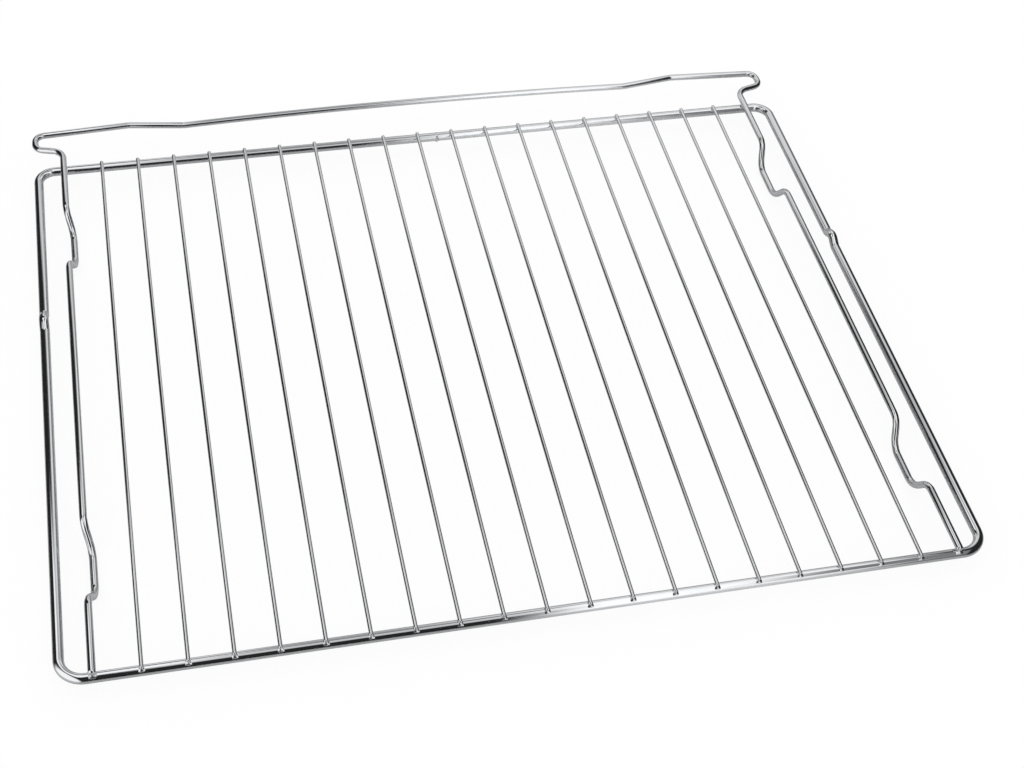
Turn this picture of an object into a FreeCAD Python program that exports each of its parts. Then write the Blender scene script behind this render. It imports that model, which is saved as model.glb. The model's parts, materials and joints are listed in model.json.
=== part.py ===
import FreeCAD, Part
import math
import os

# Oven shelf rack of welded round wire, in millimetres.
# X runs left to right, Y front to back, Z up from the surface that the feet stand on.

# Outer frame: one thick rod, bent to a rounded rectangle
FRAME_WIDTH = 465.0          # outside, left to right
FRAME_DEPTH = 373.2          # outside, front to back
FRAME_ROD_D = 5.3
FRAME_FRONT_CORNER_R = 12.0  # bend radius of the rod's centreline, at the front corners
FRAME_BACK_CORNER_R = 9.5    # the same, at the back corners
BUTT_WELD_X = 13.0           # where the rod's two ends meet on the back rail
BUTT_WELD_LENGTH = 2.4       # length of the swollen ring at that joint
BUTT_WELD_SWELL = 0.3        # how far the ring stands proud of the rod

# Pull-out stop: a small upward kink in each side rail
STOP_FROM_BACK = 130.0       # back rail's centreline to the middle of the kink
STOP_LENGTH = 13.0           # foot to foot along the rail
STOP_RISE = 3.5              # height of the kink's corner, before it is rounded
STOP_BEND_R = 5.0

# Support wire: side legs with feet, ears and rear bow in one piece
SUPPORT_WIRE_D = 3.8
LEG_GAP = 15.3               # side rail's centreline to the leg's centreline
FRONT_FOOT_FROM_RAIL = 66.0  # front rail's centreline to the middle of the front foot
BACK_FOOT_FROM_RAIL = 64.0   # back rail's centreline to the middle of the back foot
FOOT_BASE = 27.8             # corner to corner along the bottom of a foot
FOOT_MOUTH = 46.2            # corner to corner where the foot leaves the leg
FOOT_DROP = 12.0             # leg's centreline down to the foot's centreline
FOOT_LEAN = 2.55             # how far the foot's bottom stands inside the leg
FOOT_TOP_R = 10.0            # bends where the foot leaves the leg
FOOT_BASE_R = 12.5           # bends at the bottom of the foot
EAR_GAP = 13.0               # back rail's centreline to the ear's front run, at the leg
EAR_SLANT = 4.1              # how much further back that run lies at the ear's tip
EAR_DEPTH = 12.6             # front run to back run, at the ear's tip
EAR_ROOT_R = 8.0             # bend from the leg to the ear
EAR_TIP_R = 5.8              # the two bends round the ear's tip
BOW_FLARE = 3.4              # how much further back the bow lies at the jog than at the ear
BOW_SHOULDER = 56.4          # ear's tip to the outer end of the jog
JOG_LENGTH = 33.0            # outer to inner end of the jog, along the bow
JOG_DEPTH = 4.8              # how far the jog sets the bow's middle forward
JOG_BEND_R = 12.0
BOW_CROWN = 3.4              # how much further back the bow's middle lies than its ends
BOW_LEAD = 14.0              # straight stretch between the jog and the crowned middle

# Cross wires, evenly spaced between the legs
CROSS_WIRE_COUNT = 19
CROSS_WIRE_D = 2.1
WIRE_ROW_SHIFT = 0.9         # how far the whole row lies to the right of the middle
WIRE_OVERHANG = 1.2          # wire ends past the front and back rails' centrelines
WIRE_END_CHAMFER = 0.2
WELD_SET_DOWN = 0.25         # how far each wire is pressed into a rail by its weld

# Places worked out from the sizes above
half_width = (FRAME_WIDTH - FRAME_ROD_D) / 2
half_depth = (FRAME_DEPTH - FRAME_ROD_D) / 2
leg_x = half_width - LEG_GAP
leg_z = FOOT_DROP + SUPPORT_WIRE_D / 2
frame_z = leg_z - (FRAME_ROD_D + SUPPORT_WIRE_D) / 2 + WELD_SET_DOWN
cross_wire_z = frame_z + (FRAME_ROD_D + CROSS_WIRE_D) / 2 - WELD_SET_DOWN
ear_tip_x = (FRAME_WIDTH - SUPPORT_WIRE_D) / 2

ear_reach = EAR_GAP + EAR_SLANT + EAR_DEPTH
bow_middle_reach = ear_reach + BOW_FLARE - JOG_DEPTH + BOW_CROWN
bow_reach = max(ear_reach + BOW_FLARE, bow_middle_reach) + SUPPORT_WIRE_D / 2
# The frame sits forward of the origin, which is midway between front rail and rear bow
back_rail_y = (half_depth * 2 + FRAME_ROD_D / 2 - bow_reach) / 2
front_rail_y = back_rail_y - half_depth * 2


def point(x, y, z):
    """A point of the rack."""
    return FreeCAD.Vector(x, y, z)


def unit(vector):
    """The vector's direction, with length one."""
    return vector * (1 / vector.Length)


def half_turn(before, corner, after):
    """Half of the angle that a path turns through at a corner."""
    return (math.pi - (before - corner).getAngle(after - corner)) / 2


def bend_tangents(corners, radii):
    """Length of straight run that each bend takes up on either side of its corner.

    Where two bends would not both fit on the run between them, both are made tighter.
    """
    wanted = [0.0]
    for before, corner, after, radius in zip(corners, corners[1:], corners[2:], radii):
        wanted.append(radius * math.tan(half_turn(before, corner, after)))
    wanted.append(0.0)
    most_of_run = 0.98
    room = []
    for start, end, first, second in zip(corners, corners[1:], wanted, wanted[1:]):
        room.append(min(1.0, most_of_run * (end - start).Length / (first + second)))
    return [length * min(behind, ahead) for length, behind, ahead in zip(wanted[1:], room, room[1:])]


def bent_path(corners, radii):
    """Path of straight runs from corner to corner, with a tangent arc at each inner corner."""
    edges = []
    start = corners[0]
    tangents = bend_tangents(corners, radii)
    for before, corner, after, tangent in zip(corners, corners[1:], corners[2:], tangents):
        back = unit(before - corner)
        ahead = unit(after - corner)
        turn = half_turn(before, corner, after)
        middle = corner + unit(back + ahead) * (tangent * math.tan(turn / 2))
        first = corner + back * tangent
        last = corner + ahead * tangent
        edges.append(Part.LineSegment(start, first).toShape())
        edges.append(Part.Arc(first, middle, last).toShape())
        start = last
    edges.append(Part.LineSegment(start, corners[-1]).toShape())
    return Part.Wire(edges)


def swept_rod(corners, radii, diameter):
    """Round rod whose centreline is the bent path."""
    path = bent_path(corners, radii)
    section = Part.Circle(corners[0], corners[1] - corners[0], diameter / 2).toShape()
    rod = path.makePipeShell([Part.Wire(section)], True, False)
    section_area = math.pi * diameter ** 2 / 4
    print("rod of", round(path.Length, 1), "mm, volume ratio", round(rod.Volume / (section_area * path.Length), 5))
    return rod


def chamfered_ends(rod):
    """Breaks the sharp rims of a rod's two flat ends."""
    ends = [face for face in rod.Faces if isinstance(face.Surface, Part.Plane)]
    rims = [edge for face in ends for edge in face.Edges]
    return rod.makeChamfer(WIRE_END_CHAMFER, rims)


def frame_half(side):
    """Half of the outer frame, from the front rail's middle round one side to the butt weld."""
    rail_x = side * half_width
    stop_y = back_rail_y - STOP_FROM_BACK
    corners = [
        point(BUTT_WELD_X, front_rail_y, frame_z),
        point(rail_x, front_rail_y, frame_z),
        point(rail_x, stop_y - STOP_LENGTH / 2, frame_z),
        point(rail_x, stop_y, frame_z + STOP_RISE),
        point(rail_x, stop_y + STOP_LENGTH / 2, frame_z),
        point(rail_x, back_rail_y, frame_z),
        point(BUTT_WELD_X, back_rail_y, frame_z),
    ]
    radii = [FRAME_FRONT_CORNER_R, STOP_BEND_R, STOP_BEND_R, STOP_BEND_R, FRAME_BACK_CORNER_R]
    return swept_rod(corners, radii, FRAME_ROD_D)


def butt_weld_ring():
    """Low swollen ring round the joint of the rod's two ends."""
    end = BUTT_WELD_LENGTH / 2
    rim = FRAME_ROD_D / 2 - BUTT_WELD_SWELL / 2
    crest = FRAME_ROD_D / 2 + BUTT_WELD_SWELL
    outline = [
        Part.LineSegment(point(-end, 0, 0), point(-end, 0, rim)).toShape(),
        Part.Arc(point(-end, 0, rim), point(0, 0, crest), point(end, 0, rim)).toShape(),
        Part.LineSegment(point(end, 0, rim), point(end, 0, 0)).toShape(),
        Part.LineSegment(point(end, 0, 0), point(-end, 0, 0)).toShape(),
    ]
    ring = Part.Face(Part.Wire(outline)).revolve(point(0, 0, 0), point(1, 0, 0), 360)
    ring.translate(point(BUTT_WELD_X, back_rail_y, frame_z))
    return ring


def outer_frame():
    """The closed frame, as one solid."""
    halves = frame_half(-1).fuse(frame_half(1)).removeSplitter()
    return halves.fuse(butt_weld_ring()).Solids[0]


def foot_corners(side, middle_y):
    """The four corners of one foot, from its front end to its back end."""
    inner_x = side * (leg_x - FOOT_LEAN)
    return [
        point(side * leg_x, middle_y - FOOT_MOUTH / 2, leg_z),
        point(inner_x, middle_y - FOOT_BASE / 2, leg_z - FOOT_DROP),
        point(inner_x, middle_y + FOOT_BASE / 2, leg_z - FOOT_DROP),
        point(side * leg_x, middle_y + FOOT_MOUTH / 2, leg_z),
    ]


def side_corners(side):
    """Corners of one side of the support wire, from the leg's front end to the bow's inner jog."""
    ear_front_y = back_rail_y + EAR_GAP
    ear_back_y = back_rail_y + ear_reach
    jog_outer_x = ear_tip_x - BOW_SHOULDER
    jog_outer_y = ear_back_y + BOW_FLARE
    corners = [point(side * leg_x, front_rail_y - WIRE_OVERHANG, leg_z)]
    corners += foot_corners(side, front_rail_y + FRONT_FOOT_FROM_RAIL)
    corners += foot_corners(side, back_rail_y - BACK_FOOT_FROM_RAIL)
    corners += [
        point(side * leg_x, ear_front_y, leg_z),
        point(side * ear_tip_x, ear_front_y + EAR_SLANT, leg_z),
        point(side * ear_tip_x, ear_back_y, leg_z),
        point(side * jog_outer_x, jog_outer_y, leg_z),
        point(side * (jog_outer_x - JOG_LENGTH), jog_outer_y - JOG_DEPTH, leg_z),
    ]
    return corners


def support_wire(frame):
    """Legs, ears and bow as one bent wire, seated on the frame's rails."""
    left = side_corners(-1)
    right = side_corners(1)
    bow_end = left[-1]
    # The straight leads point at a corner above the crown, whose arc passes just under it
    span = -bow_end.x
    corner_rise = 2 * BOW_CROWN * span / (span + BOW_LEAD)
    bow_middle = point(0, bow_end.y + corner_rise, leg_z)
    crown_tangent = (bow_middle - bow_end).Length - BOW_LEAD
    crown_radius = crown_tangent * span / corner_rise
    foot_radii = [FOOT_TOP_R, FOOT_BASE_R, FOOT_BASE_R, FOOT_TOP_R]
    side_radii = foot_radii * 2 + [EAR_ROOT_R, EAR_TIP_R, EAR_TIP_R, JOG_BEND_R, JOG_BEND_R]
    corners = left + [bow_middle] + right[::-1]
    radii = side_radii + [crown_radius] + side_radii[::-1]
    wire = chamfered_ends(swept_rod(corners, radii, SUPPORT_WIRE_D))
    return wire.cut(frame).Solids[0]


def cross_wire(x, frame):
    """One straight wire from front to back, seated on the frame's rails."""
    length = 2 * half_depth + 2 * WIRE_OVERHANG
    front_end = point(x, front_rail_y - WIRE_OVERHANG, cross_wire_z)
    wire = Part.makeCylinder(CROSS_WIRE_D / 2, length, front_end, point(0, 1, 0))
    return chamfered_ends(wire).cut(frame).Solids[0]


def build():
    """Every piece of the rack, by name."""
    frame = outer_frame()
    pieces = {"outer_frame": frame, "support_wire": support_wire(frame)}
    pitch = 2 * leg_x / (CROSS_WIRE_COUNT + 1)
    for number in range(1, CROSS_WIRE_COUNT + 1):
        wire_x = number * pitch - leg_x + WIRE_ROW_SHIFT
        pieces[f"cross_wire_{number:02d}"] = cross_wire(wire_x, frame)
    return pieces


os.makedirs("parts", exist_ok=True)
for name, shape in build().items():
    shape.exportStep(f"parts/{name}.step")
    box = shape.BoundBox
    print(name, "valid", shape.isValid(), "solids", len(shape.Solids), "volume", round(shape.Volume, 1),
          "x", round(box.XMin, 2), round(box.XMax, 2), "y", round(box.YMin, 2), round(box.YMax, 2),
          "z", round(box.ZMin, 2), round(box.ZMax, 2))
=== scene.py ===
# %% [markdown]
# # An oven shelf rack in bright chrome
#
# This rack slides into an oven and carries a tray. It is made only of round steel rod: a thick
# frame, a thinner support wire with feet and ears, and nineteen straight shelf wires, all welded
# together and then chromed. Every piece is placed from the imported CAD model, so that model is
# loaded first.

# %% Load the imported model
import json
import math

import bpy
from mathutils import Matrix, Vector, noise


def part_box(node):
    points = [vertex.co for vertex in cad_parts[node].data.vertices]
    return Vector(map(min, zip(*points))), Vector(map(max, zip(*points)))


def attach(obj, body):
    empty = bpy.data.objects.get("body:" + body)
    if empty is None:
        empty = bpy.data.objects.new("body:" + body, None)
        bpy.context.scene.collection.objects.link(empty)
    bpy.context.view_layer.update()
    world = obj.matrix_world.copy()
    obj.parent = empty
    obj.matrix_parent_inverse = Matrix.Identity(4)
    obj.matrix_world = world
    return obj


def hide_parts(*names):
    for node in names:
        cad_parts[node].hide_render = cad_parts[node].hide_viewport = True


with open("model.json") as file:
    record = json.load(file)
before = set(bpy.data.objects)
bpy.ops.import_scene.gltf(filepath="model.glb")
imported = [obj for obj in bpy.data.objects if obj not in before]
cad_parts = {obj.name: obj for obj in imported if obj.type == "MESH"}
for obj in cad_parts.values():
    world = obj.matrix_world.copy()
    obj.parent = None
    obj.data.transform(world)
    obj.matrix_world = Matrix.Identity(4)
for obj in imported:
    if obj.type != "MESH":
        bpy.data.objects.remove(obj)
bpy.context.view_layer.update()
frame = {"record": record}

UP = Vector((0, 0, 1))
MM = 0.001

# %% [markdown]
# ## Where the rails lie
#
# The front and back rails carry all the other wires, so most places follow from them. They could
# be typed in, but the record gives the side rails as mounts and the shelf wires end just past the
# two long rails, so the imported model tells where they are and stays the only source.

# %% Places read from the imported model
FRAME_ROD = 5.3 * MM
SUPPORT_ROD = 3.8 * MM
SHELF_WIRE = 2.1 * MM
WIRE_OVERHANG = 1.2 * MM

mounts = {mount["name"]: mount for mount in frame["record"]["mounts"]}
rail_x, _, rail_z = mounts["right_side_rail"]["pos_m"]
wire_low, wire_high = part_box("cross_wire_01")
front_y = wire_low.y + WIRE_OVERHANG
back_y = wire_high.y - WIRE_OVERHANG
leg_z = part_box("support_wire")[1].z - SUPPORT_ROD / 2
wire_z = wire_high.z - SHELF_WIRE / 2
print("rails at x", round(rail_x, 5), "y", round(front_y, 5), round(back_y, 5),
      "z", round(rail_z, 5))

# %% [markdown]
# ## A bent rod
#
# A wire bender pushes straight rod round a former, so every rod here is straight runs joined by
# round bends. A curve object with a bevel would do, but its rings twist at tight bends. A list of
# stations, each a point with the direction in which the rod passes it, keeps the rings square to
# the rod and lets the stations lie close together only where the rod turns.

# %% Stations along a bent rod
BEND_STEP = math.radians(4.5)
LONGEST_STEP = 8 * MM
ROOM_FOR_BENDS = 0.98


def half_turn(before, corner, after):
    """Half of the angle that a rod turns through at a corner."""
    return (math.pi - (before - corner).angle(after - corner)) / 2


def bend_tangents(corners, radii):
    """Straight run that each bend takes up; neighbours that don't both fit are tightened."""
    turns = [half_turn(*corners[i:i + 3]) for i in range(len(radii))]
    wanted = [0.0] + [radius * math.tan(turn) for radius, turn in zip(radii, turns)] + [0.0]
    room = []
    for start, end, first, second in zip(corners, corners[1:], wanted, wanted[1:]):
        room.append(min(1.0, ROOM_FOR_BENDS * (end - start).length / (first + second)))
    return [length * min(behind, ahead)
            for length, behind, ahead in zip(wanted[1:], room, room[1:])]


def bent_rod(corners, radii):
    """Stations (point, direction) of a rod that runs from corner to corner with round bends."""
    line = [(corners[0], (corners[1] - corners[0]).normalized())]
    tangents = bend_tangents(corners, radii)
    for before, corner, after, tangent in zip(corners, corners[1:], corners[2:], tangents):
        back, ahead = (before - corner).normalized(), (after - corner).normalized()
        turn = half_turn(before, corner, after)
        radius = tangent / math.tan(turn)
        centre = corner + (back + ahead).normalized() * (radius / math.cos(turn))
        arm = corner + back * tangent - centre
        axis = arm.cross(-back).normalized()
        steps = math.ceil(max(2 * turn / BEND_STEP, 2 * turn * radius / LONGEST_STEP))
        for step in range(steps + 1):
            spin = Matrix.Rotation(2 * turn * step / steps, 3, axis)
            line.append((centre + spin @ arm, spin @ -back))
    line.append((corners[-1], (corners[-1] - corners[-2]).normalized()))
    return line


trial = bent_rod([Vector((0, 0, 0)), Vector((0.1, 0, 0)), Vector((0.1, 0.1, 0))], [0.012])
print("a rod with one bend has", len(trial), "stations")

# %% [markdown]
# ## Skin on the stations
#
# A rod's skin is a ring of points at each station. Chrome mirrors its surroundings, so a coarse
# ring would show as flat facets; rings of two dozen points and smooth shading give a clean round
# mirror. Each point also keeps its place on the rod, round it and along it, so that the finish can
# later follow the rod through its bends. The bender's rollers leave shallow flats in each bend,
# which break its highlights, so rings in a bend are pressed in a little, unevenly.

# %% A round rod from its rings
MARK_LENGTH = 2.6 * MM
MARK_INWARD = 0.5
SHARP_BEND = 9 * MM


def out_of_rails(point):
    """Moves a point that lies inside the front or back rail onto the rail's skin."""
    for rail_y in (front_y, back_y):
        spoke = Vector((0, point.y - rail_y, point.z - rail_z))
        if 0 < spoke.length < FRAME_ROD / 2:
            return point + spoke * (FRAME_ROD / 2 / spoke.length - 1)
    return point


def pressed(rings, number):
    """Share of the bender's deepest mark at a ring, from how sharply the rod turns there."""
    before, after = rings[max(number - 1, 0)], rings[min(number + 1, len(rings) - 1)]
    sharpness = before[1].angle(after[1]) / (after[0] - before[0]).length
    return min(1.0, sharpness * SHARP_BEND)


def tube_faces(ring_count, sides, closed=False):
    """Faces between neighbouring rings of points, with two flat ends unless closed in a loop."""
    faces = []
    for ring in range(ring_count if closed else ring_count - 1):
        here, there = ring * sides, (ring + 1) % ring_count * sides
        for side in range(sides):
            after = (side + 1) % sides
            faces.append((here + side, here + after, there + after, there + side))
    if not closed:
        faces.append(tuple(reversed(range(sides))))
        faces.append(tuple(range((ring_count - 1) * sides, ring_count * sides)))
    return faces


def rod_mesh(name, rings, sides, mark=0.0, closed=False, seated=True):
    """Mesh object for a rod, from rings of (point, direction, radius) and its deepest mark."""
    points, places, length = [], [], 0.0
    for number, (point, direction, radius) in enumerate(rings):
        if number:
            length += (point - rings[number - 1][0]).length
        depth = mark * pressed(rings, number)
        over = (UP - direction * direction.dot(UP)).normalized()
        across = direction.cross(over)
        for side in range(sides):
            turn = 2 * math.pi * side / sides
            dent = noise.noise(Vector((math.cos(turn), math.sin(turn), length / MARK_LENGTH)))
            reach = radius + depth * (dent - MARK_INWARD)
            spot = point + (over * math.cos(turn) + across * math.sin(turn)) * reach
            points.append(out_of_rails(spot) if seated else spot)
            places.append((radius * math.cos(turn), radius * math.sin(turn), length))
    return chromed_piece(name, points, tube_faces(len(rings), sides, closed), places)


def chromed_piece(name, points, faces, places):
    """Smooth mesh object that rides on the rack, with each point's place on its rod."""
    mesh = bpy.data.meshes.new(name)
    mesh.from_pydata(points, [], faces)
    mesh.polygons.foreach_set("use_smooth", [len(face) == 4 for face in faces])
    spots = mesh.attributes.new("rod_place", "FLOAT_VECTOR", "POINT")
    spots.data.foreach_set("vector", [number for place in places for number in place])
    mesh.update()
    piece = bpy.data.objects.new(name, mesh)
    bpy.context.scene.collection.objects.link(piece)
    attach(piece, "root")
    return piece


print("rods can be skinned, with marks about", round(MARK_LENGTH / MM, 1), "mm long in their bends")

# %% [markdown]
# ## The outer frame
#
# The frame is the thickest rod, bent to a rounded rectangle that slides on the oven's ledges. Near
# the back each side rail has a small upward kink, which stops the rack when it is pulled out. Its
# two ends are butt-welded on the back rail. The CAD solid has the same form with coarse facets, so
# a finer skin on the same bends stands for it.

# %% Frame rod
BUTT_WELD_X = 13.0 * MM
FRONT_CORNER_BEND, BACK_CORNER_BEND = 12.0 * MM, 9.5 * MM
STOP_FROM_BACK = 130.0 * MM
STOP_HALF_LENGTH = 6.5 * MM
STOP_RISE = 3.5 * MM
STOP_BEND = 5.0 * MM
FRAME_MARK = 0.025 * MM
FRAME_SIDES = 36
stop_y = back_y - STOP_FROM_BACK


def side_rail_corners(side):
    """Corners of one side of the frame, from its front corner to its back corner."""
    x = side * rail_x
    return [Vector((x, front_y, rail_z)),
            Vector((x, stop_y - STOP_HALF_LENGTH, rail_z)),
            Vector((x, stop_y, rail_z + STOP_RISE)),
            Vector((x, stop_y + STOP_HALF_LENGTH, rail_z)),
            Vector((x, back_y, rail_z))]


butt_weld = Vector((BUTT_WELD_X, back_y, rail_z))
frame_corners = [butt_weld, *reversed(side_rail_corners(-1)), *side_rail_corners(1), butt_weld]
side_bends = [FRONT_CORNER_BEND, STOP_BEND, STOP_BEND, STOP_BEND, BACK_CORNER_BEND]
frame_line = bent_rod(frame_corners, side_bends[::-1] + side_bends)[:-1]
frame_rings = [(*station, FRAME_ROD / 2) for station in frame_line]
frame_rod = rod_mesh("frame_rod", frame_rings, FRAME_SIDES, FRAME_MARK,
                     closed=True, seated=False)
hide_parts("outer_frame")
print("frame rod:", len(frame_rings), "rings,", len(frame_rod.data.polygons), "faces")

# %% [markdown]
# ## The support wire
#
# One wire makes both legs, the four feet that the rack stands on, the two ears that catch the
# oven's ledges and the bow along the back. It lies on the frame and is pressed a little into it by
# the welds. Its corners are listed once for one side and mirrored for the other, as the bender's
# program does. The two cut ends are melted round by their welds.

# %% Corners of the support wire
LEG_GAP = 15.3 * MM
FRONT_FOOT_FROM_RAIL, BACK_FOOT_FROM_RAIL = 66.0 * MM, 64.0 * MM
FOOT_BASE_HALF, FOOT_MOUTH_HALF = 13.9 * MM, 23.1 * MM
FOOT_DROP, FOOT_LEAN = 12.0 * MM, 2.55 * MM
FOOT_TOP_BEND, FOOT_BASE_BEND = 10.0 * MM, 12.5 * MM
EAR_GAP, EAR_SLANT, EAR_DEPTH = 13.0 * MM, 4.1 * MM, 12.6 * MM
EAR_ROOT_BEND, EAR_TIP_BEND = 8.0 * MM, 5.8 * MM
BOW_FLARE, BOW_SHOULDER, BOW_CROWN, BOW_LEAD = 3.4 * MM, 56.4 * MM, 3.4 * MM, 14.0 * MM
JOG_LENGTH, JOG_DEPTH, JOG_BEND = 33.0 * MM, 4.8 * MM, 12.0 * MM
leg_x = rail_x - LEG_GAP
ear_tip_x = rail_x + FRAME_ROD / 2 - SUPPORT_ROD / 2


def foot_corners(side, middle_y):
    """The four corners of one foot, from front to back."""
    inner_x = side * (leg_x - FOOT_LEAN)
    foot_z = leg_z - FOOT_DROP
    return [Vector((side * leg_x, middle_y - FOOT_MOUTH_HALF, leg_z)),
            Vector((inner_x, middle_y - FOOT_BASE_HALF, foot_z)),
            Vector((inner_x, middle_y + FOOT_BASE_HALF, foot_z)),
            Vector((side * leg_x, middle_y + FOOT_MOUTH_HALF, leg_z))]


def leg_and_ear_corners(side):
    """Corners of one side of the support wire, from the leg's front end to the inner jog."""
    ear_front = back_y + EAR_GAP
    ear_back = ear_front + EAR_SLANT + EAR_DEPTH
    jog_x = ear_tip_x - BOW_SHOULDER
    jog_y = ear_back + BOW_FLARE
    return [Vector((side * leg_x, front_y - WIRE_OVERHANG, leg_z)),
            *foot_corners(side, front_y + FRONT_FOOT_FROM_RAIL),
            *foot_corners(side, back_y - BACK_FOOT_FROM_RAIL),
            Vector((side * leg_x, ear_front, leg_z)),
            Vector((side * ear_tip_x, ear_front + EAR_SLANT, leg_z)),
            Vector((side * ear_tip_x, ear_back, leg_z)),
            Vector((side * jog_x, jog_y, leg_z)),
            Vector((side * (jog_x - JOG_LENGTH), jog_y - JOG_DEPTH, leg_z))]


left_corners, right_corners = leg_and_ear_corners(-1), leg_and_ear_corners(1)
print("support wire: legs at x", round(leg_x / MM, 2), "mm,",
      "ear tips at", round(ear_tip_x / MM, 2), "mm")

# %% Seats and melted ends
SEAT_STEP = 0.15 * MM
SEAT_STEPS = 10
MELT_STEPS = 5
FRONT_TO_BACK = 0.999


def with_seats(line, melt):
    """Adds close stations where a wire that runs front to back crosses the two long rails."""
    seats = [rail_y + step * SEAT_STEP for rail_y in (front_y, back_y)
             for step in range(-SEAT_STEPS, SEAT_STEPS + 1)]
    fine = [line[0]]
    for (start, direction), (end, last) in zip(line, line[1:]):
        if min(abs(direction.y), abs(last.y)) > FRONT_TO_BACK:
            low, high = min(start.y, end.y) + melt, max(start.y, end.y) - melt
            inside = [y for y in seats if low < y < high]
            for y in sorted(inside, reverse=end.y < start.y):
                fine.append((start.lerp(end, (y - start.y) / (end.y - start.y)), direction))
        fine.append((end, last))
    return fine


def melted_ends(line, radius, melt):
    """Rings with a radius, with the rim of both cut ends melted round."""
    turns = [math.pi / 2 * step / MELT_STEPS for step in range(MELT_STEPS + 1)]
    (first, start), (last, end) = line[0], line[-1]
    lead = [(first + start * (melt * (1 - math.sin(turn))), start,
             radius - melt * (1 - math.cos(turn))) for turn in reversed(turns)]
    tail = [(last - end * (melt * (1 - math.sin(turn))), end,
             radius - melt * (1 - math.cos(turn))) for turn in turns]
    return lead + [(point, direction, radius) for point, direction in line[1:-1]] + tail


print("each seat on a rail gets", 2 * SEAT_STEPS + 1, "close stations")

# %% Support rod
LEG_END_MELT = 1.2 * MM
SUPPORT_MARK = 0.1 * MM
SUPPORT_SIDES = 32
inner_jog = right_corners[-1]
span = inner_jog.x
crown_rise = 2 * BOW_CROWN * span / (span + BOW_LEAD)
bow_middle = Vector((0, inner_jog.y + crown_rise, leg_z))
crown_bend = ((bow_middle - inner_jog).length - BOW_LEAD) * span / crown_rise
foot_bends = [FOOT_TOP_BEND, FOOT_BASE_BEND, FOOT_BASE_BEND, FOOT_TOP_BEND]
one_side = foot_bends * 2 + [EAR_ROOT_BEND, EAR_TIP_BEND, EAR_TIP_BEND, JOG_BEND, JOG_BEND]
support_line = bent_rod(left_corners + [bow_middle] + right_corners[::-1],
                        one_side + [crown_bend] + one_side[::-1])
seated_line = with_seats(support_line, LEG_END_MELT)
support_rings = melted_ends(seated_line, SUPPORT_ROD / 2, LEG_END_MELT)
support_rod = rod_mesh("support_rod", support_rings, SUPPORT_SIDES, SUPPORT_MARK)
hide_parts("support_wire")
print("support rod:", len(support_rings), "rings,", len(support_rod.data.polygons), "faces")

# %% [markdown]
# ## The shelf wires
#
# Nineteen thin wires run front to back between the legs, and the whole row was welded a little to
# the right of the middle. They are all alike, so one mesh could be shared, but each is a CAD node
# of its own, so each gets its own mesh.

# %% Shelf wires
SHELF_WIRE_COUNT = 19
WIRE_ROW_SHIFT = 0.9 * MM
WIRE_END_MELT = 0.7 * MM
WIRE_SIDES = 24
TO_BACK = Vector((0, 1, 0))
wire_pitch = 2 * leg_x / (SHELF_WIRE_COUNT + 1)
wire_places = [number * wire_pitch - leg_x + WIRE_ROW_SHIFT
               for number in range(1, SHELF_WIRE_COUNT + 1)]
shelf_wires = []
for number, x in enumerate(wire_places, 1):
    ends = [Vector((x, front_y - WIRE_OVERHANG, wire_z)),
            Vector((x, back_y + WIRE_OVERHANG, wire_z))]
    straight = with_seats([(end, TO_BACK) for end in ends], WIRE_END_MELT)
    wire_rings = melted_ends(straight, SHELF_WIRE / 2, WIRE_END_MELT)
    wire = rod_mesh(f"shelf_wire_{number:02d}", wire_rings, WIRE_SIDES)
    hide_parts(f"cross_wire_{number:02d}")
    shelf_wires.append(wire)
print(len(shelf_wires), "shelf wires,", round(wire_pitch / MM, 2), "mm apart")

# %% [markdown]
# ## Welds
#
# Each wire is welded by pressing it hot into the rail, which squeezes out a skirt of steel on both
# sides of it and a lip past its cut end. Plating rounds it off. A bump in the material could hint
# at it, but the skirt catches its own light, so it is modelled: a low mound laid round the rail,
# highest under the wire, wider towards the wire's end and a little uneven, closed inside the rail.

# %% Weld skirts
SKIRT_ACROSS, SKIRT_ROUND = 18, 16
SKIRT_ROOT = 0.05 * MM
SKIRT_BURIED = 0.5 * MM
SKIRT_SIDE_FALL, SKIRT_END_FALL = 1.5, 0.7
SKIRT_TAPER = 0.2
LUMP_SHARE, LUMP_SCALE, LUMP_STEP = 0.3, 1.5, 3.1


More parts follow.
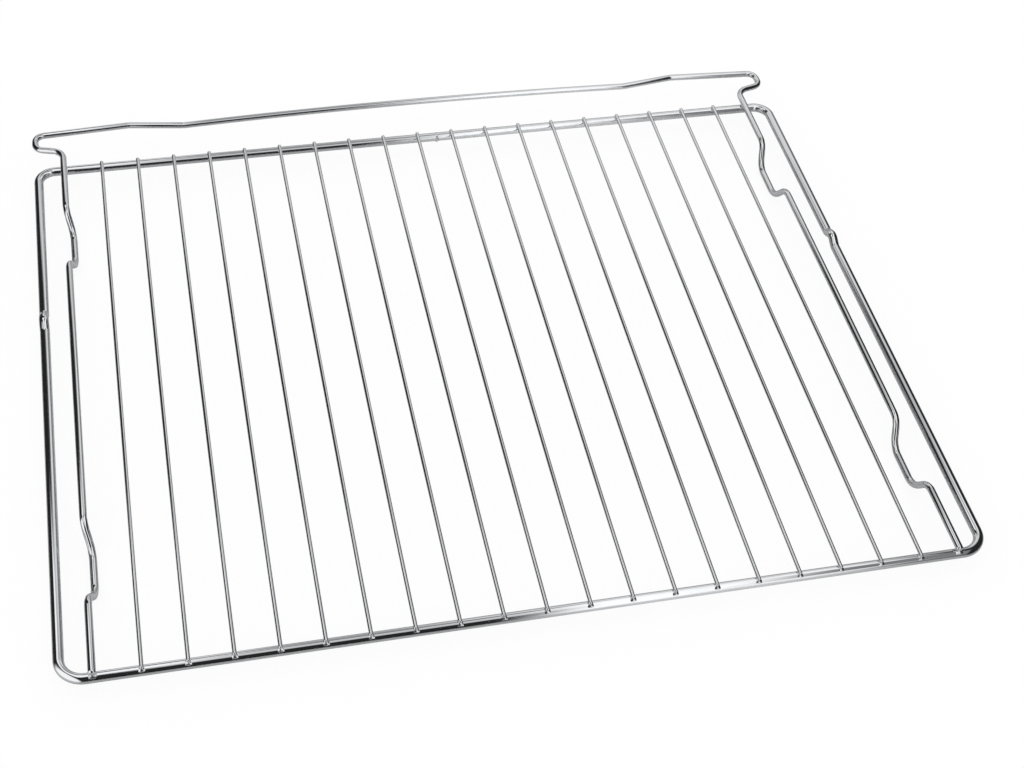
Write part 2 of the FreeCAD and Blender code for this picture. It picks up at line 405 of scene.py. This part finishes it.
def weld_skirt(x, rail_y, outward, number, half_width, inner, outer, height):
    """Points and faces of the steel round one wire, from inner to outer, angles round the rail."""
    points, row = [], SKIRT_ACROSS + 1
    for buried in (False, True):
        for step in range(SKIRT_ROUND + 1):
            end = 2 * step / SKIRT_ROUND - 1
            turn = (outer - inner) / 2 + (outer + inner) / 2 * end
            for column in range(row):
                side = 2 * column / SKIRT_ACROSS - 1
                lump = Vector((side * LUMP_SCALE, end * LUMP_SCALE, number * LUMP_STEP))
                mound = (1 - side ** 2) ** SKIRT_SIDE_FALL * (1 - end ** 2) ** SKIRT_END_FALL
                mound *= 1 + LUMP_SHARE * noise.noise(lump)
                reach = FRAME_ROD / 2 + (-SKIRT_BURIED if buried else height * mound - SKIRT_ROOT)
                points.append(Vector((x + side * half_width * (1 - SKIRT_TAPER + SKIRT_TAPER * end),
                                      rail_y + outward * math.sin(turn) * reach,
                                      rail_z + math.cos(turn) * reach)))
    layer = len(points) // 2
    faces = []
    for step in range(SKIRT_ROUND):
        for column in range(SKIRT_ACROSS):
            corner = step * row + column
            top = (corner, corner + 1, corner + row + 1, corner + row)
            faces += [top, tuple(layer + index for index in reversed(top))]
    rim = list(range(row))
    rim += [step * row + SKIRT_ACROSS for step in range(1, SKIRT_ROUND + 1)]
    rim += [SKIRT_ROUND * row + column for column in reversed(range(SKIRT_ACROSS))]
    rim += [step * row for step in reversed(range(1, SKIRT_ROUND))]
    for here, there in zip(rim, rim[1:] + rim[:1]):
        faces.append((layer + here, layer + there, there, here))
    return points, faces if outward > 0 else [face[::-1] for face in faces]


def weld_piece(name, welds):
    """One mesh object of many welds."""
    points, faces = [], []
    for weld_points, weld_faces in welds:
        faces += [tuple(len(points) + index for index in face) for face in weld_faces]
        points += weld_points
    piece = chromed_piece(name, points, faces, points)
    print(name, len(faces), "faces")
    return piece


print("a weld skirt has", SKIRT_ACROSS, "by", SKIRT_ROUND, "faces on its top")

# %% Welds of the wires and the legs
FRONT_WIRE_WELD = dict(half_width=1.9 * MM, inner=0.50, outer=0.95, height=0.52 * MM)
BACK_WIRE_WELD = dict(half_width=1.7 * MM, inner=0.60, outer=0.85, height=0.50 * MM)
FRONT_LEG_WELD = dict(half_width=2.4 * MM, inner=0.55, outer=0.90, height=0.42 * MM)
BACK_LEG_WELD = dict(half_width=2.4 * MM, inner=0.55, outer=0.55, height=0.70 * MM)
BACK_WIRE_LUMPS, FRONT_LEG_LUMPS, BACK_LEG_LUMPS = 30, 60, 70

front_welds = weld_piece("front_rail_welds", [
    weld_skirt(x, front_y, -1, number, **FRONT_WIRE_WELD)
    for number, x in enumerate(wire_places)])
back_welds = weld_piece("back_rail_welds", [
    weld_skirt(x, back_y, 1, number + BACK_WIRE_LUMPS, **BACK_WIRE_WELD)
    for number, x in enumerate(wire_places)])
leg_welds = weld_piece("leg_welds", [
    weld_skirt(side * leg_x, front_y, -1, FRONT_LEG_LUMPS + side, **FRONT_LEG_WELD)
    for side in (-1, 1)] + [
    weld_skirt(side * leg_x, back_y, 1, BACK_LEG_LUMPS + side, **BACK_LEG_WELD)
    for side in (-1, 1)])

# %% [markdown]
# ## The butt weld
#
# Where the frame rod's two ends meet, the upset steel stands up as a low ring that was ground off
# on top and left rough below. It could be part of the rod's skin, but it is much finer than the
# rest of the rod, so it is a bead of its own, with an uneven crest.

# %% Butt weld bead
BEAD_HALF_LENGTH = 1.6 * MM
BEAD_SWELL = 0.5 * MM
BEAD_RINGS, BEAD_SIDES = 17, 48
BEAD_LOW_SIDE = 0.78
GROUND_HEIGHT, GROUND_WIDTH = 0.12, 0.35
BEAD_SUNK_EDGE = 0.25
BEAD_LUMP_SHARE, LUMPS_ALONG, LUMPS_ROUND = 0.3, 1.3, 1.6


def butt_weld_bead():
    """Points and faces of the ring round the joint of the rod's two ends."""
    points = []
    for ring in range(BEAD_RINGS):
        along = 2 * ring / (BEAD_RINGS - 1) - 1
        for side in range(BEAD_SIDES):
            turn = 2 * math.pi * side / BEAD_SIDES
            spoke = Vector((0, math.cos(turn), math.sin(turn)))
            lump = noise.noise(spoke * LUMPS_ROUND + Vector((along * LUMPS_ALONG, 0, 0)))
            low = min(1.0, BEAD_LOW_SIDE - BEAD_LOW_SIDE * math.sin(turn))
            crest = (1 + BEAD_SUNK_EDGE) * math.cos(along * math.pi / 2) - BEAD_SUNK_EDGE
            crest *= (GROUND_HEIGHT + (1 - GROUND_HEIGHT) * low) * (1 + BEAD_LUMP_SHARE * lump)
            width = BEAD_HALF_LENGTH * (GROUND_WIDTH + (1 - GROUND_WIDTH) * low)
            reach = spoke * (FRAME_ROD / 2 + BEAD_SWELL * crest)
            points.append(butt_weld + reach + Vector((along * width, 0, 0)))
    return points, tube_faces(BEAD_RINGS, BEAD_SIDES)


butt_bead = weld_piece("butt_weld", [butt_weld_bead()])

# %% [markdown]
# ## Maths on node sockets
#
# The finishes are mixed from noise and masks. Adding and linking each node by hand hides the
# thought behind it, so one small class wraps a socket: Python's signs on it add Math nodes, and one
# method adds any other node.

# %% Sockets that can be added and multiplied


class Signal:
    """A node's output socket that Python's signs turn into Math nodes."""

    def __init__(self, tree, socket):
        self.tree, self.socket = tree, socket

    @classmethod
    def node(cls, tree, kind, settings=None, inputs=None, output=0):
        """Adds a node of any kind: its settings first, then the values or links of its sockets."""
        made = tree.nodes.new(kind)
        for name, value in (settings or {}).items():
            setattr(made, name, value)
        for name, value in (inputs or {}).items():
            if isinstance(value, Signal):
                tree.links.new(value.socket, made.inputs[name])
            else:
                made.inputs[name].default_value = value
        return cls(tree, made.outputs[output]) if made.outputs else None

    def sign(self, operation, first, second):
        return Signal.node(self.tree, "ShaderNodeMath", {"operation": operation},
                           {0: first, 1: second})

    def __add__(self, other):
        return self.sign("ADD", self, other)

    __radd__ = __add__

    def __mul__(self, other):
        return self.sign("MULTIPLY", self, other)

    __rmul__ = __mul__

    def __sub__(self, other):
        return self.sign("SUBTRACT", self, other)

    def __rsub__(self, other):
        return self.sign("SUBTRACT", other, self)

    def __truediv__(self, other):
        return self.sign("DIVIDE", self, other)

    def __rtruediv__(self, other):
        return self.sign("DIVIDE", other, self)

    def __pow__(self, other):
        return self.sign("POWER", self, other)

    def __rpow__(self, other):
        return self.sign("POWER", other, self)

    def soft_step(self, low, high):
        """0 up to low, 1 from high on, and an even slope between them."""
        return Signal.node(self.tree, "ShaderNodeMapRange", {"interpolation_type": "SMOOTHSTEP"},
                           {"Value": self, "From Min": low, "From Max": high})

    def band(self, low, high, soft):
        """1 between low and high, with soft edges of the given width."""
        rise = self.soft_step(low - soft / 2, low + soft / 2)
        return rise * (1 - self.soft_step(high - soft / 2, high + soft / 2))


def new_nodes(holder):
    """Empty node tree of a material or a world."""
    holder.use_nodes = True
    holder.node_tree.nodes.clear()
    return holder.node_tree


print("socket signs ready")

# %% [markdown]
# ## Bright chrome
#
# Chrome on drawn wire is nearly a mirror. Close up it has long faint die lines that follow the
# wire, cloudy patches where the plating is thinner, and scattered dull pits. A plain metal with one
# roughness would look like a drawing of a mirror, so these three are made from noise on each
# point's place on the rod, stretched along it, and they change colour, roughness and bump a little.

# %% Chrome finish
CLEAR_CHROME = (0.742, 0.755, 0.770, 1)
CLOUDED_CHROME = (0.642, 0.660, 0.678, 1)
CLOUD_SCALE, DIE_LINE_SCALE, PIT_SCALE = (240, 240, 40), (5200, 5200, 26), (1300, 1300, 1100)
CLOUD_EDGE, PIT_EDGE = (0.42, 0.72), (0.66, 0.76)
PIT_DULLNESS = 0.5
CLOUD_ROUGHNESS, DIE_LINE_ROUGHNESS, PIT_ROUGHNESS = 0.08, 0.03, 0.12
CLOUD_HEIGHT, DIE_LINE_HEIGHT, PIT_DEPTH = 0.3, 0.5, 0.6
RELIEF_STRENGTH = 0.25


def stretched_noise(tree, place, scale, detail):
    """Noise on the rod, with a scale per metre round the rod and along it."""
    moved = Signal.node(tree, "ShaderNodeVectorMath", {"operation": "MULTIPLY"},
                        {0: place, 1: scale})
    return Signal.node(tree, "ShaderNodeTexNoise", None,
                       {"Vector": moved, "Scale": 1.0, "Detail": detail})


def chrome_finish(name, mirror, clouding, lumps):
    """Chrome with a base roughness, a share of cloudy patches and a depth of bump in metres."""
    finish = bpy.data.materials.new(name)
    tree = new_nodes(finish)
    place = Signal.node(tree, "ShaderNodeAttribute", {"attribute_name": "rod_place"},
                        output="Vector")
    clouds = stretched_noise(tree, place, CLOUD_SCALE, detail=3.0).soft_step(*CLOUD_EDGE)
    die_lines = stretched_noise(tree, place, DIE_LINE_SCALE, detail=2.0)
    pits = stretched_noise(tree, place, PIT_SCALE, detail=1.0).soft_step(*PIT_EDGE)
    dull = clouds * clouding + pits * PIT_DULLNESS
    colour = Signal.node(tree, "ShaderNodeMix", {"data_type": "RGBA"},
                         {0: dull, 6: CLEAR_CHROME, 7: CLOUDED_CHROME}, output=2)
    roughness = mirror + clouds * (clouding * CLOUD_ROUGHNESS)
    roughness = roughness + die_lines * DIE_LINE_ROUGHNESS + pits * PIT_ROUGHNESS
    relief = die_lines * DIE_LINE_HEIGHT + clouds * CLOUD_HEIGHT - pits * PIT_DEPTH
    bump = Signal.node(tree, "ShaderNodeBump", None,
                       {"Strength": RELIEF_STRENGTH, "Distance": lumps, "Height": relief})
    skin = Signal.node(tree, "ShaderNodeBsdfPrincipled", None,
                       {"Base Color": colour, "Metallic": 1.0, "Roughness": roughness,
                        "Normal": bump})
    Signal.node(tree, "ShaderNodeOutputMaterial", None, {"Surface": skin})
    return finish


rod_chrome = chrome_finish("rod_chrome", mirror=0.04, clouding=0.5, lumps=0.02 * MM)
weld_chrome = chrome_finish("weld_chrome", mirror=0.22, clouding=0.2, lumps=0.06 * MM)
rods = [frame_rod, support_rod, *shelf_wires]
welds = [front_welds, back_welds, leg_welds, butt_bead]
for rod in rods:
    rod.data.materials.append(rod_chrome)
for weld in welds:
    weld.data.materials.append(weld_chrome)
print("chrome on", len(rods), "rods and", len(welds), "weld pieces")

# %% [markdown]
# ## White floor
#
# The rack is pictured on plain white. A floor lit to full white would also flood the chrome, so the
# floor is a pale polished board under even light. The camera sees it topped up to white, with only
# a faint share of the shadow left. Mirrored rays see the board as it is, with its own polish, and
# with a painted pool of light right of the middle: glow added to the board where a strip lamp would
# light it.

# %% Floor and world
FLOOR_SIZE = 12
FLOOR_PALE = 0.8
ROOM_LIGHT = 0.66
SHADOW_SHARE = 0.20
POOL_LIGHT, POOL_EDGES, POOL_SOFT = 0.2, (0.01, 0.17), 0.10
BOARD_GLOSS, BOARD_IOR = 2.0, 1.5
BOARD_POLISH = 0.1

bpy.ops.mesh.primitive_plane_add(size=FLOOR_SIZE)
floor = bpy.context.object
floor.name = "floor"
floor_board = bpy.data.materials.new("floor_board")
floor.data.materials.append(floor_board)
tree = new_nodes(floor_board)
seen = Signal.node(tree, "ShaderNodeLightPath", output="Is Camera Ray")
mirrored = Signal.node(tree, "ShaderNodeLightPath", output="Is Glossy Ray")
spot = Signal.node(tree, "ShaderNodeNewGeometry", output="Position")
across = Signal.node(tree, "ShaderNodeSeparateXYZ", None, {0: spot})
# Painted pool of light: glow that only mirrored rays see on the board, in a band right of the
# middle, where no lamp lights it.
painted_pool = across.band(*POOL_EDGES, POOL_SOFT) * mirrored * POOL_LIGHT
white_up = seen * (1 - SHADOW_SHARE * ROOM_LIGHT)
pale = Signal.node(tree, "ShaderNodeMix", {"data_type": "RGBA"},
                   {0: seen, 6: (FLOOR_PALE,) * 3 + (1,), 7: (SHADOW_SHARE,) * 3 + (1,)}, output=2)
matt = Signal.node(tree, "ShaderNodeBsdfDiffuse", None, {"Color": pale})
glow = Signal.node(tree, "ShaderNodeEmission", None, {"Color": painted_pool + white_up, "Strength": 1.0})
lit = Signal.node(tree, "ShaderNodeAddShader", None, {0: matt, 1: glow})
polish = Signal.node(tree, "ShaderNodeBsdfAnisotropic", None, {"Roughness": BOARD_POLISH})
sheen = Signal.node(tree, "ShaderNodeFresnel", None, {"IOR": BOARD_IOR}) * mirrored * BOARD_GLOSS
board = Signal.node(tree, "ShaderNodeMixShader", None, {0: sheen, 1: lit, 2: polish})
Signal.node(tree, "ShaderNodeOutputMaterial", None, {"Surface": board})

world = bpy.data.worlds.new("room")
bpy.context.scene.world = world
tree = new_nodes(world)
seen = Signal.node(tree, "ShaderNodeLightPath", output="Is Camera Ray")
room = Signal.node(tree, "ShaderNodeBackground", None,
                   {"Color": ROOM_LIGHT + seen * (1 - ROOM_LIGHT), "Strength": 1.0})
Signal.node(tree, "ShaderNodeOutputWorld", None, {"Surface": room})
print("floor mirrored at", round(FLOOR_PALE * ROOM_LIGHT, 3), "and seen as white")

# %% [markdown]
# ## What the chrome mirrors
#
# Chrome has no colour of its own: its bright and dark bands are the studio. Lamps alone would leave
# it black between small highlights. Here a tent stands round the rack, a half sphere that only
# mirrored rays can see, dark by itself and hung with soft boards: a bright strip from the front
# over the top, a grey ceiling, a back wall with a dark gap, and cards on the left. Places on the
# tent are given on a disc, as if seen from straight below: the middle is overhead, the rim is the
# horizon, and each board covers a little of those hung before it.

# %% Tent shell
TENT_RADIUS = 0.85
TENT_STEPS, TENT_SIDES = 32, 96
tent_points, tent_faces = [], []
for step in range(TENT_STEPS + 1):
    rise = math.pi / 2 * step / TENT_STEPS
    for side in range(TENT_SIDES):
        turn = 2 * math.pi * side / TENT_SIDES
        tent_points.append(Vector((math.cos(rise) * math.cos(turn), math.cos(rise) * math.sin(turn),
                                   math.sin(rise))) * TENT_RADIUS)
for step in range(TENT_STEPS):
    for side in range(TENT_SIDES):
        after = (side + 1) % TENT_SIDES
        here, there = step * TENT_SIDES, (step + 1) * TENT_SIDES
        tent_faces.append((here + side, there + side, there + after, here + after))
tent_mesh = bpy.data.meshes.new("studio_tent")
tent_mesh.from_pydata(tent_points, [], tent_faces)
tent = bpy.data.objects.new("studio_tent", tent_mesh)
bpy.context.scene.collection.objects.link(tent)
tent.visible_camera = False
tent.visible_diffuse = False
tent.visible_shadow = False
tent.visible_transmission = False
tent.visible_volume_scatter = False
print("tent of", len(tent_faces), "faces")

# %% Boards hung in the tent
TENT_DARK = 0.023
PAST_RIM = 1.2
tent_cloth = bpy.data.materials.new("tent_cloth")
tent.data.materials.append(tent_cloth)
tent_cloth.cycles.emission_sampling = "NONE"
tree = new_nodes(tent_cloth)
spot = Signal.node(tree, "ShaderNodeNewGeometry", output="Position")
across, deep, high = [
    Signal.node(tree, "ShaderNodeSeparateXYZ", None, {0: spot}, output=axis) / TENT_RADIUS
    for axis in "XYZ"]
fold = 1 / (1 + high) ** 0.5
disc_across, disc_deep = across * fold, deep * fold


def hang(light, width, depth, soft, brightness):
    """Tent light with one more board: its edges across and deep, their softness, its brightness."""
    cover = disc_across.band(*width, soft[0]) * disc_deep.band(*depth, soft[1])
    return light + cover * (brightness - light)


ceiling = hang(TENT_DARK, (-0.21, 0.21), (-0.42, 0.08), (0.05, 0.20), 0.72)
back_wall = hang(ceiling, (-0.15, 0.55), (0.23, PAST_RIM), (0.07, 0.17), 0.50)
back_corners = hang(back_wall, (-0.46, -0.28), (0.65, PAST_RIM), (0.12, 0.06), 0.27)
back_corners = hang(back_corners, (0.44, 0.73), (0.51, PAST_RIM), (0.09, 0.17), 0.28)
back_glow = hang(back_corners, (-0.09, 0.49), (0.40, 0.71), (0.12, 0.16), 0.88)
back_gap = hang(back_glow, (-0.16, 0.06), (0.43, 0.60), (0.08, 0.12), 0.10)
front_boards = hang(back_gap, (-1.0, -0.46), (-PAST_RIM, 0.0), (0.10, 0.25), 1.2)
front_boards = hang(front_boards, (0.27, 0.54), (-PAST_RIM, -0.21), (0.09, 0.14), 0.25)
front_boards = hang(front_boards, (0.30, 0.45), (-PAST_RIM, -0.72), (0.10, 0.12), 1.1)
strip_lamp = hang(front_boards, (0.13, 0.32), (-PAST_RIM, 0.15), (0.11, 0.20), 1.35)
strip_lamp = hang(strip_lamp, (0.18, 0.43), (-0.18, 0.30), (0.08, 0.17), 1.2)
left_cards = hang(strip_lamp, (-0.36, -0.15), (-0.20, 0.25), (0.10, 0.16), 1.25)
left_cards = hang(left_cards, (-0.33, -0.12), (0.60, PAST_RIM), (0.06, 0.10), 0.85)
left_cards = hang(left_cards, (-0.44, -0.10), (0.20, 0.37), (0.10, 0.09), 1.2)
shine = Signal.node(tree, "ShaderNodeEmission", None, {"Color": left_cards, "Strength": 1.0})
Signal.node(tree, "ShaderNodeOutputMaterial", None, {"Surface": shine})
print("tent hung with", len(tree.nodes), "nodes of boards")

# %% [markdown]
# ## Camera
#
# The photograph looks down on the rack from the front left, with the right side of the picture
# tilted up a little. The place, aim, roll and lens were found by fitting the rack's corners to the
# picture, so the camera is set from them directly instead of by eye.

# %% Camera at the photograph's angle
CAMERA_PLACE = Vector((-0.1531, -0.6747, 0.6932))
CAMERA_AIM = Vector((0.01577, -0.04853, 0.0096))
CAMERA_ROLL = math.radians(4.294)
LENS, SENSOR_WIDTH = 60.9, 36
FARTHEST_SEEN = 50

looking = (CAMERA_AIM - CAMERA_PLACE).normalized()
level_right = looking.cross(UP).normalized()
level_up = level_right.cross(looking)
right_side = level_right * math.cos(CAMERA_ROLL) + level_up * math.sin(CAMERA_ROLL)
top_side = right_side.cross(looking)
lens_data = bpy.data.cameras.new("camera")
lens_data.lens = LENS
lens_data.sensor_width = SENSOR_WIDTH
lens_data.sensor_fit = "HORIZONTAL"
lens_data.clip_end = FARTHEST_SEEN
camera = bpy.data.objects.new("camera", lens_data)
bpy.context.scene.collection.objects.link(camera)
turned = Matrix((right_side, top_side, -looking)).transposed()
camera.matrix_world = Matrix.Translation(CAMERA_PLACE) @ turned.to_4x4()
bpy.context.scene.camera = camera
bpy.context.scene.view_settings.view_transform = "Standard"
print("camera", round((CAMERA_AIM - CAMERA_PLACE).length, 3), "m from the rack")
